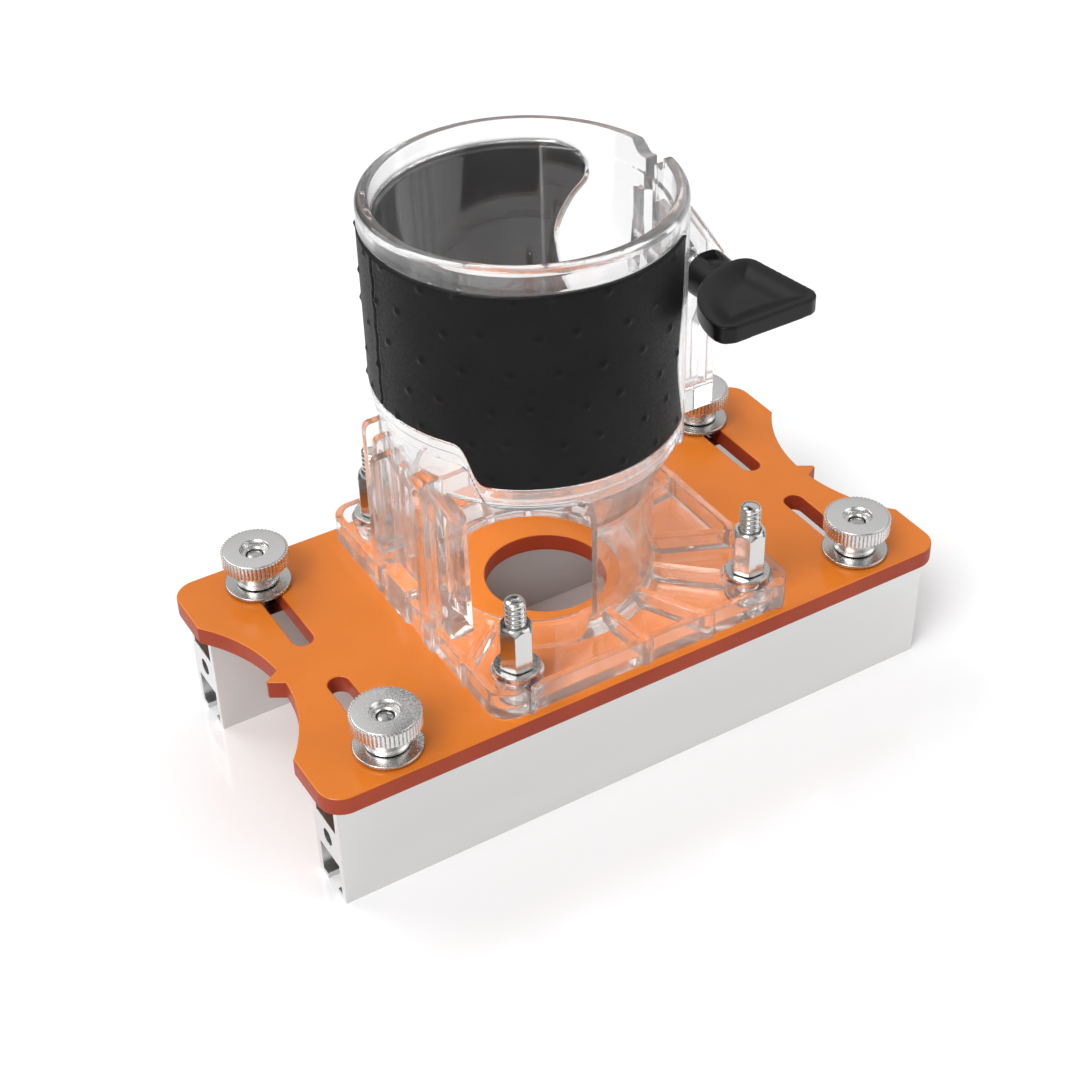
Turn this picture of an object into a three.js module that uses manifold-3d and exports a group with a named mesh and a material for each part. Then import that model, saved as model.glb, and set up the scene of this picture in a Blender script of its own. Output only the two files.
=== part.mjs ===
// Slotting bracket for a hand-held trimmer router, in millimetres, +Z up.
// Two slotted extrusions ride under a bakelite plate. A clear router base with a split
// clamp collar is bolted on top of the plate, and a rubber grip wraps the collar.
// Origin: the middle of the plate in plan, at the feet of the rails. X runs along the rails.
import * as THREE from 'three';
import { mergeVertices } from 'three/addons/utils/BufferGeometryUtils.js';
import Module from 'manifold-3d';

const wasm = await Module();
wasm.setup();

// ---- Clearances ----
const seat = 0.3; // between faces that rest on each other
const screwGap = 0.3; // round a screw, on the radius
const slotGap = 0.6; // between a bolt and the side of its slot
const mouthGap = 0.65; // between a bolt and the lips of its channel
const headGap = 0.5; // between a bolt's head and the walls of its channel

// ---- Screws, nuts and washers ----
const standoffScrewRadius = 2.5; // M5
const standoffWasher = { radius: 5.5, thickness: 1 };
const standoffNut = { wall: 0.8, chamfer: 0.8, height: 11.8 }; // wall: thread gap to flat
const standoffStudTip = 7; // stud above the top of its nut
const countersink = { flare: 1.8, depth: 2.2 }; // flare: head radius less screw radius
const screwRadius = 2; // M4, for the rail bolts
const slotWasher = { radius: 8.15, thickness: 1 };
const thumbNut = {
  radius: 8.15, headHeight: 4, neckWall: 2.3, neckHeight: 5.2, ribDepth: 0.4, ribs: 30,
  chamfer: 0.5, recessFlare: 1.3, recessDepth: 2.4,
};
const tHeadHeight = 2.8;
const tBoltStop = 1.6; // end of the screw below the top of its thumb nut

// ---- Plate ----
const plate = { length: 170, width: 88, thickness: 5, cornerRadius: 6 };
const endScoop = { halfWidth: 26.5, depth: 9.6 };
const endTooth = { halfWidth: 2.6, height: 3.6 };
const plateHole = { x: -3.7, y: 0, radius: 15 };
const slot = { fromEnd: 19.7, inner: 9.6, pastBolt: 2 };

// ---- Rails ----
const rail = {
  shortfall: 5.6, inset: 3.2, width: 13.2, height: 30, wall: 1.8, lip: 1.6,
  upperDepth: 9, lowerDepth: 10.8, portRadius: 2.1, portHeight: 16,
};

// ---- Clear router base ----
const flange = {
  x: -0.4, length: 82, y: 0.4, width: 85.4, cornerRadius: 5.5,
  floor: 2, height: 7.2, rim: 2, rib: 2.2, ribDrop: 0.7, bossWall: 0.7,
};
const standoffInset = { x: 9, y: 8.2 }; // from the flange's sides to its screws
const ribEnds = { front: [-1.5, 15.7], right: [-18, 8, 24], left: [-24, 26] };
const collar = {
  x: -6, y: 2, bore: 32.5, wall: 1.9, proud: 1.7, height: 105,
  lipHeight: 6, lipChamfer: 1.1, shoulderTop: 50.6, shoulderHeight: 5.6,
};
const nose = {
  radius: 29.2, wall: 2.6, top: 31.5, footFlare: 2, footHeight: 2, opening: 21.5, floorBevel: 2.5,
};
const frontWindow = { angle: -129, width: 34.7, bottom: 2.6, cornerRadius: 4 };
const shoulderRise = { halfAngle: 39, height: 10.1 }; // raised shoulder above the guide bracket
const guide = { depth: 4.2, webReach: 2.3, webTop: 44 }; // depth: into the nose's wall
const guideFoot = { proud: 0.1, from: 0.2, to: 11.3, top: 10 };
// Fins from front to back: how far each stands out past the collar, and heights above the plate.
const guideFins = [
  { y: -10, proud: 0.4, thickness: 5, bottom: seat, top: 49 },
  { y: -1.8, proud: -0.3, thickness: 2, bottom: 22, top: 48 },
  { y: 5.2, proud: 3.3, thickness: 2.4, bottom: 20, top: 47 },
  { y: 9.5, proud: 0.4, thickness: 2, bottom: 20, top: 49 },
  { y: 14.9, proud: 0.2, thickness: 2.2, bottom: seat, top: 50 },
];

// ---- Clamp: slit, ears and lever ----
// Half widths of the clamp zone, at heights below the collar's lip.
const clampZone = [
  [19.8, 48], [20.6, 43], [24.6, 35], [25.6, 23], [23, 14], [19.8, 8], [20.4, 3.5], [26, 0],
];
const clampZoneFront = 5; // how much further the zone reaches on the lever's side
const slit = { width: 3.2, belowShoulder: 9.6 };
// Ears: reaches past the collar, heights below the collar's top.
const ears = {
  thickness: 6.2, reach: 14.4, waist: 10.7, topReach: 3.4,
  bottom: 68.3, waistTop: 50, shelf: 41, tip: 29.5, top: 13,
};
const earStep = { back: 12.4, front: -3.5, depth: 4.5 };
const clampPivot = { reach: 6.9, drop: 30.5 }; // past the collar, below its top
const clampScrewRadius = 2.5; // M5
const clampNut = { wall: 1.2, thickness: 4 }; // wall: thread gap to flat
const clampScrew = { intoHub: 10, beyondNut: 1.5 };
const hub = { radius: 5.9, tipRadius: 4.6, length: 15 };
// The paddle's outline is measured from the hub's axis and the front ear's face.
const paddle = {
  floor: 1.2, top: 6, roundX: 6.4, roundY: -29.4, roundRadius: 22.4, topAngle: 86, tailAngle: 178,
  tailY: -32.3, tipX: 10.9, tipY: -28.9, shoulderX: 8.9, corner: 1.8,
};

// ---- Grip sleeve ----
const sleeve = { thickness: 1.5, topGap: 0.3, zoneGap: 0.5 };

const SEGMENTS = 72;
const PAST = 1; // how far a cutting tool runs past what it cuts

// ---- Places that follow from the dimensions ----
const slotX = plate.length / 2 - slot.fromEnd;
const slotWidth = 2 * (screwRadius + slotGap);
const railLength = plate.length - rail.shortfall;
const railCentre = plate.width / 2 - rail.inset - rail.width / 2;
const standoff = {
  x: flange.length / 2 - standoffInset.x,
  y: flange.width / 2 - standoffInset.y,
};
const plateBottom = rail.height + seat;
const plateTop = plateBottom + plate.thickness;
const flangeBottom = plateTop + seat;
const flangeTop = flangeBottom + flange.height;
const flangeFloor = flangeBottom + flange.floor;
const washerBottom = flangeTop + seat;
const standoffNutBottom = washerBottom + standoffWasher.thickness + seat;
const standoffNutTop = standoffNutBottom + standoffNut.height;
const slotWasherBottom = plateTop + seat;
const thumbNutBottom = slotWasherBottom + slotWasher.thickness + seat;
const thumbNutTop = thumbNutBottom + thumbNut.neckHeight + thumbNut.headHeight;
const collarTop = plateTop + collar.height;
const lipBottom = collarTop - collar.lipHeight;
const shoulderTop = plateTop + collar.shoulderTop;
const shoulderBottom = shoulderTop - collar.shoulderHeight;
const riseTop = shoulderTop + shoulderRise.height;
const collarSkin = collar.bore + collar.wall;
const collarOuter = collarSkin + collar.proud;
const collarRight = collar.x + collarOuter;
const collarLeft = collar.x - collarOuter;
const slitFace = slit.width / 2;
const earFace = slitFace + ears.thickness; // from the collar's middle plane
const pivot = { x: collarRight + clampPivot.reach, z: collarTop - clampPivot.drop };
const headRadius = standoffScrewRadius + countersink.flare;
const standoffBore = standoffScrewRadius + screwGap;
const nutBore = screwRadius + screwGap;

// ---- Shape helpers ----
function toSolid(geometry) {
  const bare = geometry.index ? geometry.toNonIndexed() : geometry.clone();
  bare.deleteAttribute('normal');
  bare.deleteAttribute('uv');
  const merged = mergeVertices(bare, 1e-4);
  return new wasm.Manifold(new wasm.Mesh({
    numProp: 3,
    vertProperties: new Float32Array(merged.attributes.position.array),
    triVerts: new Uint32Array(merged.index.array),
  }));
}

function toGeometry(solid) {
  const data = solid.getMesh();
  const geometry = new THREE.BufferGeometry();
  geometry.setAttribute('position', new THREE.BufferAttribute(new Float32Array(data.vertProperties), 3));
  geometry.setIndex(new THREE.BufferAttribute(new Uint32Array(data.triVerts), 1));
  geometry.computeVertexNormals();
  return geometry;
}

// A shape drawn in X and Y, raised from one level to another.
function prism(shape, bottom, top, curveSegments = 12) {
  const geometry = new THREE.ExtrudeGeometry(shape, {
    depth: top - bottom, bevelEnabled: false, curveSegments,
  });
  return toSolid(geometry.translate(0, 0, bottom));
}

// A shape drawn in Y and Z, extruded along X.
function prismAlongX(shape, from, to, curveSegments = 12) {
  const geometry = new THREE.ExtrudeGeometry(shape, {
    depth: to - from, bevelEnabled: false, curveSegments,
  });
  const turn = new THREE.Matrix4().makeBasis(
    new THREE.Vector3(0, 1, 0), new THREE.Vector3(0, 0, 1), new THREE.Vector3(1, 0, 0),
  );
  return toSolid(geometry.applyMatrix4(turn).translate(from, 0, 0));
}

// A shape drawn in X and Z, extruded along Y.
function prismAlongY(shape, from, to, curveSegments = 12) {
  const geometry = new THREE.ExtrudeGeometry(shape, {
    depth: to - from, bevelEnabled: false, curveSegments,
  });
  return toSolid(geometry.rotateX(Math.PI / 2).translate(0, to, 0));
}

// A profile of [radius, height] points, turned round the vertical line through x, y.
function turned(profile, x = 0, y = 0, segments = SEGMENTS) {
  const points = profile.map(([radius, height]) => new THREE.Vector2(radius, height));
  const geometry = new THREE.LatheGeometry(points, segments);
  return toSolid(geometry.rotateX(Math.PI / 2).translate(x, y, 0));
}

function tube(inner, outer, bottom, top, x, y, segments = SEGMENTS) {
  const profile = [[inner, bottom], [outer, bottom], [outer, top], [inner, top], [inner, bottom]];
  return turned(profile, x, y, segments);
}

function rod(radius, bottom, top, x = 0, y = 0, segments = 32) {
  return turned([[0, bottom], [radius, bottom], [radius, top], [0, top]], x, y, segments);
}

function rodAlongY(radius, from, to, x, z, segments = 32) {
  const geometry = new THREE.CylinderGeometry(radius, radius, to - from, segments);
  return toSolid(geometry.translate(x, (from + to) / 2, z));
}

function block(low, high) {
  const geometry = new THREE.BoxGeometry(high[0] - low[0], high[1] - low[1], high[2] - low[2]);
  return toSolid(geometry.translate(
    (low[0] + high[0]) / 2, (low[1] + high[1]) / 2, (low[2] + high[2]) / 2,
  ));
}

function roundedRectangle(cx, cy, width, height, radius) {
  const x = width / 2 - radius;
  const y = height / 2 - radius;
  const shape = new THREE.Shape();
  shape.absarc(cx + x, cy - y, radius, -Math.PI / 2, 0);
  shape.absarc(cx + x, cy + y, radius, 0, Math.PI / 2);
  shape.absarc(cx - x, cy + y, radius, Math.PI / 2, Math.PI);
  shape.absarc(cx - x, cy - y, radius, Math.PI, Math.PI * 1.5);
  shape.closePath();
  return shape;
}

function polygon(points) {
  return new THREE.Shape(points.map(([x, y]) => new THREE.Vector2(x, y)));
}

function hexagon(acrossFlats) {
  const corner = acrossFlats / Math.sqrt(3);
  const points = [];
  for (let i = 0; i < 6; i += 1) {
    const angle = i * Math.PI / 3;
    points.push([corner * Math.cos(angle), corner * Math.sin(angle)]);
  }
  return polygon(points);
}

function unite(solids) {
  return solids.reduce((sum, solid) => sum.add(solid));
}

function cut(solid, tools) {
  return tools.reduce((rest, tool) => rest.subtract(tool), solid);
}

// ---- Materials ----
const finish = (color, roughness, metalness, extra = {}) =>
  new THREE.MeshStandardMaterial({ color, roughness, metalness, ...extra });
const materials = {
  bakelite: finish(0xd9772e, 0.4, 0),
  aluminium: finish(0xd4d6d8, 0.35, 0.9),
  steel: finish(0xc9c9c7, 0.2, 1),
  clear: finish(0xeef3f4, 0.05, 0, { transparent: true, opacity: 0.3 }),
  rubber: finish(0x161616, 0.7, 0),
  plastic: finish(0x121212, 0.5, 0),
  darkSteel: finish(0x3a3a3c, 0.35, 0.9),
};

const bracket = new THREE.Group();

function addPart(name, solid, material, place = [0, 0, 0]) {
  const mesh = new THREE.Mesh(toGeometry(solid), material);
  mesh.name = name;
  mesh.position.set(...place);
  bracket.add(mesh);
}

// ---- Plate ----
function plateOutline() {
  const { length, width, cornerRadius: r } = plate;
  const endX = length / 2;
  const sideY = width / 2;
  const scoopRadius = (endScoop.depth ** 2 + endScoop.halfWidth ** 2) / (2 * endScoop.depth);
  const bottomX = endX - endScoop.depth;
  const middle = bottomX + scoopRadius;
  const wide = Math.asin(endScoop.halfWidth / scoopRadius);
  const narrow = Math.asin(endTooth.halfWidth / scoopRadius);
  const shape = new THREE.Shape();
  shape.absarc(endX - r, r - sideY, r, -Math.PI / 2, 0);
  shape.absarc(middle, 0, scoopRadius, Math.PI + wide, Math.PI + narrow, true);
  shape.lineTo(bottomX + endTooth.height, 0);
  shape.absarc(middle, 0, scoopRadius, Math.PI - narrow, Math.PI - wide, true);
  shape.absarc(endX - r, sideY - r, r, 0, Math.PI / 2);
  shape.absarc(r - endX, sideY - r, r, Math.PI / 2, Math.PI);
  shape.absarc(-middle, 0, scoopRadius, wide, narrow, true);
  shape.lineTo(-bottomX - endTooth.height, 0);
  shape.absarc(-middle, 0, scoopRadius, -narrow, -wide, true);
  shape.absarc(r - endX, r - sideY, r, Math.PI, Math.PI * 1.5);
  shape.closePath();
  return shape;
}

function slotTool(x, side) {
  const outer = railCentre + slot.pastBolt;
  const middle = side * (slot.inner + outer) / 2;
  const reach = outer - slot.inner + slotWidth;
  const endRadius = slotWidth / 2 - 0.01; // a hair short of round, so that no side has zero length
  const outline = roundedRectangle(x, middle, slotWidth, reach, endRadius);
  return prism(outline, plateBottom - PAST, plateTop + PAST, 5);
}

function standoffHoleTool(x, y) {
  return turned([
    [0, plateBottom - PAST],
    [headRadius + screwGap, plateBottom - PAST],
    [headRadius + screwGap, plateBottom],
    [standoffBore, plateBottom + countersink.depth + screwGap],
    [standoffBore, flangeTop + PAST],
    [0, flangeTop + PAST],
  ], x, y, 20);
}

function corners(halfX, halfY) {
  return [['front_left', -halfX, -halfY], ['front_right', halfX, -halfY],
    ['back_left', -halfX, halfY], ['back_right', halfX, halfY]];
}

function makePlate() {
  const slots = corners(slotX, 1).map(([, x, side]) => slotTool(x, side));
  const holes = corners(standoff.x, standoff.y).map(([, x, y]) => standoffHoleTool(x, y));
  const centre = rod(plateHole.radius, plateBottom - PAST, plateTop + PAST, plateHole.x, plateHole.y, 48);
  return cut(prism(plateOutline(), plateBottom, plateTop, 8), [...slots, ...holes, centre]);
}

// ---- Rails ----
function railSection() {
  const half = rail.width / 2;
  const inside = half - rail.wall;
  const mouth = screwRadius + mouthGap;
  const upperFloor = rail.height - rail.upperDepth;
  const shape = polygon([
    [-half, 0], [-mouth, 0], [-mouth, rail.lip], [-inside, rail.lip],
    [-inside, rail.lowerDepth], [inside, rail.lowerDepth],
    [inside, rail.lip], [mouth, rail.lip], [mouth, 0], [half, 0],
    [half, rail.height], [mouth, rail.height], [mouth, rail.height - rail.lip],
    [inside, rail.height - rail.lip], [inside, upperFloor], [-inside, upperFloor],
    [-inside, rail.height - rail.lip], [-mouth, rail.height - rail.lip],
    [-mouth, rail.height], [-half, rail.height],
  ]);
  const port = new THREE.Path();
  port.absarc(0, rail.portHeight, rail.portRadius, 0, Math.PI * 2, true);
  shape.holes.push(port);
  return shape;
}

// ---- Rail bolts, washers and thumb nuts ----
function makeTBolt() {
  const top = rail.height - rail.lip - seat;
  const half = rail.width / 2 - rail.wall - headGap;
  const head = block([-half, -half, top - tHeadHeight], [half, half, top]);
  return head.add(rod(screwRadius, top - tHeadHeight / 2, thumbNutTop - tBoltStop, 0, 0, 24));
}

function makeWasher(size, bore, bottom) {
  return tube(bore, size.radius, bottom, bottom + size.thickness, 0, 0, 32);
}

// Ribs as alternate high and low points, inside the bevel that chamfers the head.
function knurledOutline() {
  const points = [];
  for (let i = 0; i < thumbNut.ribs * 2; i += 1) {
    const radius = thumbNut.radius - thumbNut.chamfer - (i % 2) * thumbNut.ribDepth;
    const angle = i * Math.PI / thumbNut.ribs;
    points.push([radius * Math.cos(angle), radius * Math.sin(angle)]);
  }
  return polygon(points);
}

function makeThumbNut() {
  const headBottom = thumbNutTop - thumbNut.headHeight;
  const { chamfer } = thumbNut;
  const recess = nutBore + thumbNut.recessFlare;
  const knurled = new THREE.ExtrudeGeometry(knurledOutline(), {
    depth: thumbNut.headHeight - 2 * chamfer, bevelEnabled: true,
    bevelThickness: chamfer, bevelSize: chamfer, bevelSegments: 1,
  });
  const head = toSolid(knurled.translate(0, 0, headBottom + chamfer));
  const neck = rod(nutBore + thumbNut.neckWall, thumbNutBottom, headBottom + chamfer, 0, 0, 24);
  const hole = turned([
    [0, thumbNutBottom - PAST], [nutBore, thumbNutBottom - PAST],
    [nutBore, thumbNutTop - thumbNut.recessDepth], [recess, thumbNutTop],
    [recess, thumbNutTop + PAST], [0, thumbNutTop + PAST],
  ], 0, 0, 24);
  return head.add(neck).subtract(hole);
}

// ---- Standoffs ----
function makeStandoffScrew() {
  const top = standoffNutTop + standoffStudTip;
  const tip = 0.7;
  return turned([
    [0, plateBottom], [headRadius, plateBottom],
    [standoffScrewRadius, plateBottom + countersink.depth], [standoffScrewRadius, top - tip],
    [standoffScrewRadius - tip, top], [0, top],
  ], 0, 0, 24);
}

function makeStandoffNut() {
  const acrossFlats = 2 * (standoffBore + standoffNut.wall);
  const corner = acrossFlats / Math.sqrt(3);
  const { chamfer } = standoffNut;
  const body = prism(hexagon(acrossFlats), standoffNutBottom, standoffNutTop);
  const trim = turned([
    [standoffBore, standoffNutBottom], [corner - chamfer / 2, standoffNutBottom],
    [corner, standoffNutBottom + chamfer / 2], [corner, standoffNutTop - chamfer],
    [corner - chamfer, standoffNutTop], [standoffBore, standoffNutTop], [standoffBore, standoffNutBottom],
  ], 0, 0, 24);
  return body.intersect(trim);
}

// ---- Clear router base ----
// The clamp zone's outline, seen along X and widened on each side.
function clampWindow(grow) {
  const side = clampZone.map(([half, drop]) => new THREE.Vector2(half + grow, lipBottom - drop));
  const left = side.map(({ x, y }) => new THREE.Vector2(collar.y - clampZoneFront - x, y)).reverse();
  const right = side.map(({ x, y }) => new THREE.Vector2(collar.y + x, y));
  const shape = new THREE.Shape();
  shape.moveTo(right[0].x, shoulderBottom);
  shape.lineTo(right[0].x, right[0].y);
  shape.splineThru(right.slice(1));
  shape.lineTo(right[right.length - 1].x, collarTop);
  shape.lineTo(left[0].x, collarTop);
  shape.lineTo(left[0].x, left[0].y);
  shape.splineThru(left.slice(1));
  shape.lineTo(left[left.length - 1].x, shoulderBottom);
  shape.closePath();
  return prismAlongX(shape, collar.x, collarRight + PAST, 3);
}

// A wedge of the collar centred on its -X side.
function backWedge(halfAngle, bottom, top) {
  const reach = 2 * collarOuter;
  const middle = Math.PI;
  const half = THREE.MathUtils.degToRad(halfAngle);
  const shape = polygon([
    [collar.x, collar.y],
    [collar.x + reach * Math.cos(middle - half), collar.y + reach * Math.sin(middle - half)],
    [collar.x + reach * Math.cos(middle + half), collar.y + reach * Math.sin(middle + half)],
  ]);
  return prism(shape, bottom, top);
}

function makeFlange() {
  const { x, y, length, width, cornerRadius, rim } = flange;
  const outline = roundedRectangle(x, y, length, width, cornerRadius);
  const inner = roundedRectangle(x, y, length - 2 * rim, width - 2 * rim, cornerRadius - rim);
  const tray = prism(outline, flangeBottom, flangeTop, 6).subtract(
    prism(inner, flangeFloor, flangeTop + PAST, 6),
  );
  const bosses = corners(standoff.x, standoff.y).map(([, bx, by]) =>
    rod(standoffWasher.radius + flange.bossWall, flangeBottom, flangeTop, bx, by, 24));
  return unite([tray, ...bosses, ...makeRibs()]);
}

// Ribs on the floor of the flange, from the foot of the nose to the rim.
function makeRibs() {
  const front = flange.y - (flange.width - flange.rim) / 2;
  const back = flange.y + (flange.width - flange.rim) / 2;
  const left = flange.x - (flange.length - flange.rim) / 2;
  const right = flange.x + (flange.length - flange.rim) / 2;
  const ends = [
    ...corners(standoff.x, standoff.y).map(([, x, y]) => [x, y]),
    ...ribEnds.front.flatMap((x) => [[x, front], [x, back]]),
    ...ribEnds.right.map((y) => [right, y]),
    ...ribEnds.left.map((y) => [left, y]),
  ];
  return ends.map(([x, y]) => {
    const dx = x - collar.x;
    const dy = y - collar.y;
    const length = Math.hypot(dx, dy);
    const start = nose.radius - nose.wall / 2;
    const rib = block(
      [start, -flange.rib / 2, flangeBottom],
      [length, flange.rib / 2, flangeTop - flange.ribDrop],
    );
    return rib.rotate([0, 0, THREE.MathUtils.radToDeg(Math.atan2(dy, dx))])
      .translate([collar.x, collar.y, 0]);
  });
}

function makeCollarWall() {
  const { lipChamfer } = collar;
  const noseTop = plateTop + nose.top;
  const foot = nose.radius + nose.footFlare;
  const edge = 0.5;
  return turned([
    [nose.opening, flangeBottom], [foot, flangeBottom], [foot, flangeFloor],
    [nose.radius, flangeFloor + nose.footHeight], [nose.radius, noseTop], [collarOuter, shoulderBottom],
    [collarOuter, shoulderTop], [collarSkin, shoulderTop], [collarSkin, lipBottom],
    [collarOuter - edge, lipBottom], [collarOuter, lipBottom + edge],
    [collarOuter, collarTop - lipChamfer], [collarOuter - lipChamfer, collarTop],
    [nose.opening, collarTop], [nose.opening, flangeBottom],
  ], collar.x, collar.y);
}

// Everything inside the collar: the router's bore, its seat and the nose.
function boreTool() {
  const noseBore = nose.radius - nose.wall;
  const noseTop = plateTop + nose.top;
  const mouth = 0.8;
  return turned([
    [0, flangeBottom - PAST], [nose.opening, flangeBottom - PAST], [nose.opening, flangeFloor],
    [noseBore, flangeFloor + nose.floorBevel], [noseBore, noseTop], [collar.bore, shoulderBottom],
    [collar.bore, collarTop - mouth], [collar.bore + mouth, collarTop],
    [collar.bore + mouth, collarTop + PAST], [0, collarTop + PAST],
  ], collar.x, collar.y);
}

function makeGuideBracket() {
  const inner = collar.x - nose.radius + guide.depth;
  const fins = guideFins.map((fin) => block(
    [collarLeft - fin.proud, fin.y - fin.thickness / 2, plateTop + fin.bottom],
    [inner, fin.y + fin.thickness / 2, plateTop + fin.top],
  ));
  const first = guideFins[0];
  const last = guideFins[guideFins.length - 1];
  const web = block(
    [collar.x - nose.radius - guide.webReach, first.y, flangeBottom],
    [inner, last.y, plateTop + guide.webTop],
  );
  const foot = block(
    [collarLeft - guideFoot.proud, guideFoot.from, flangeBottom],
    [inner, guideFoot.to, plateTop + guideFoot.top],
  );
  return unite([...fins, web, foot]);
}

function makeEars() {
  const inner = collar.x + collar.bore - collar.wall;
  const waist = collarRight + ears.waist;
  const reach = collarRight + ears.reach;
  const shape = polygon([
    [inner, collarTop - ears.bottom], [waist, collarTop - ears.bottom],
    [waist, collarTop - ears.waistTop], [reach, collarTop - ears.shelf],
    [reach, collarTop - ears.tip], [collarRight + ears.topReach, collarTop - ears.top],
    [inner, collarTop - ears.top],
  ]);
  return prismAlongY(shape, collar.y - earFace, collar.y + earFace);
}

// The pivot's hole through both ears.
function pivotTool() {
  return rodAlongY(
    clampScrewRadius + screwGap, collar.y - earFace - PAST, collar.y + earFace + PAST, pivot.x, pivot.z,
  );
}

function clampTools() {
  const reach = collarRight + ears.reach + PAST;
  const gap = block(
    [collar.x + collar.bore / 2, collar.y - slitFace, shoulderTop - slit.belowShoulder],
    [reach, collar.y + slitFace, collarTop + PAST],
  );
  const step = block(
    [collar.x + collar.bore / 2, earStep.front, collarTop - earStep.depth],
    [reach, earStep.back, collarTop + PAST],
  );
  return [gap, step, pivotTool()];
}

function windowTool() {
  const bottom = plateTop + frontWindow.bottom;
  const outline = roundedRectangle(
    0, (bottom + shoulderBottom) / 2,
    frontWindow.width, shoulderBottom - bottom, frontWindow.cornerRadius,
  );
  return prismAlongX(outline, nose.radius / 3, collarOuter + PAST, 6)
    .rotate([0, 0, frontWindow.angle]).translate([collar.x, collar.y, 0]);
}

function makeRouterBase() {
  const ring = tube(
    collarSkin - collar.wall / 2, collarOuter, shoulderTop - PAST, lipBottom + PAST, collar.x, collar.y,
  );
  const clampPad = ring.intersect(clampWindow(0));
  const raised = ring.intersect(backWedge(shoulderRise.halfAngle, shoulderTop - PAST, riseTop));
  const wall = makeCollarWall().subtract(windowTool());
  const body = unite([makeFlange(), wall, clampPad, raised, makeGuideBracket(), makeEars()]);
  const holes = corners(standoff.x, standoff.y).map(([, x, y]) => standoffHoleTool(x, y));
  return cut(body, [boreTool(), ...clampTools(), ...holes]);
}

// ---- Grip sleeve ----
function makeSleeve() {
  const inner = collarSkin + seat;
  const ring = tube(
    inner, inner + sleeve.thickness, shoulderTop + seat, lipBottom - sleeve.topGap, collar.x, collar.y,
  );
  const clear = THREE.MathUtils.radToDeg(sleeve.zoneGap / collarSkin);
  const rise = backWedge(shoulderRise.halfAngle + clear, 0, riseTop + seat);
  return cut(ring, [clampWindow(sleeve.zoneGap), rise]);
}

// ---- Clamp lever, its screw and nut ----
// Round towards the hub, with a straight outer edge and a corner at the tip.
function paddleOutline() {
  const { roundX, roundY, roundRadius, tipX, tipY, tailY, shoulderX, corner } = paddle;
  const top = THREE.MathUtils.degToRad(paddle.topAngle);
  const tail = THREE.MathUtils.degToRad(paddle.tailAngle);
  const topX = roundX + roundRadius * Math.cos(top);
  const topY = roundY + roundRadius * Math.sin(top);
  const tailX = roundX + roundRadius * Math.cos(tail);
  const outline = new THREE.Shape();
  outline.absarc(roundX, roundY, roundRadius, top, tail);
  outline.quadraticCurveTo(tailX, tailY, tailX + 2 * corner, tailY);
  outline.lineTo(tipX - corner, tipY - corner / 3);
  outline.quadraticCurveTo(tipX, tipY, tipX - corner / 6, tipY + corner);
  outline.lineTo(shoulderX, topY - corner);
  outline.quadraticCurveTo(shoulderX, topY, topX, topY);
  return outline;
}

function makeLever() {
  const face = collar.y - earFace - seat;
  const wing = prism(paddleOutline(), pivot.z + paddle.floor, pivot.z + paddle.top, 10)
    .translate([pivot.x, face, 0]);
  const cone = new THREE.CylinderGeometry(hub.radius, hub.tipRadius, hub.length, 40);
  const stem = toSolid(cone.translate(pivot.x, face - hub.length / 2, pivot.z));
  const bore = rodAlongY(
    clampScrewRadius + seat, face - clampScrew.intoHub - seat, face + PAST, pivot.x, pivot.z,
  );
  return wing.add(stem).subtract(bore);
}

function makeClampScrew() {
  const from = collar.y - earFace - seat - clampScrew.intoHub;
  const to = collar.y + earFace + seat + clampNut.thickness + clampScrew.beyondNut;
  return rodAlongY(clampScrewRadius, from, to, pivot.x, pivot.z);
}

function makeClampNut() {
  const bore = clampScrewRadius + screwGap;
  const from = collar.y + earFace + seat;
  const to = from + clampNut.thickness;
  const body = prismAlongY(hexagon(2 * (bore + clampNut.wall)), from, to).translate([pivot.x, 0, pivot.z]);
  return body.subtract(rodAlongY(bore, from - PAST, to + PAST, pivot.x, pivot.z));
}

// ---- Assembly ----
addPart('base_plate', makePlate(), materials.bakelite);
const railSolid = prismAlongX(railSection(), -railLength / 2, railLength / 2);
addPart('rail_front', railSolid, materials.aluminium, [0, -railCentre, 0]);
addPart('rail_back', railSolid, materials.aluminium, [0, railCentre, 0]);

corners(slotX, railCentre).forEach(([where, x, y]) => {
  addPart(`t_bolt_${where}`, makeTBolt(), materials.steel, [x, y, 0]);
  const washer = makeWasher(slotWasher, nutBore, slotWasherBottom);
  addPart(`slot_washer_${where}`, washer, materials.steel, [x, y, 0]);
  addPart(`thumb_nut_${where}`, makeThumbNut(), materials.steel, [x, y, 0]);
});

corners(standoff.x, standoff.y).forEach(([where, x, y]) => {
  addPart(`standoff_screw_${where}`, makeStandoffScrew(), materials.steel, [x, y, 0]);
  const washer = makeWasher(standoffWasher, standoffBore, washerBottom);
  addPart(`standoff_washer_${where}`, washer, materials.steel, [x, y, 0]);
  addPart(`standoff_nut_${where}`, makeStandoffNut(), materials.steel, [x, y, 0]);
});

addPart('router_base', makeRouterBase(), materials.clear);
addPart('grip_sleeve', makeSleeve(), materials.rubber);
addPart('clamp_lever', makeLever(), materials.plastic);
addPart('clamp_screw', makeClampScrew(), materials.darkSteel);
addPart('clamp_nut', makeClampNut(), materials.darkSteel);

export default bracket;
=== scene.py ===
"""The looks of a clear trimmer-router bracket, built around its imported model.

Lengths in this file are millimetres unless a name says otherwise. They become metres as a
mesh is made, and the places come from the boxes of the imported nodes.
"""

import math

import bmesh
import bpy
from mathutils import Matrix, Vector


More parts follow.
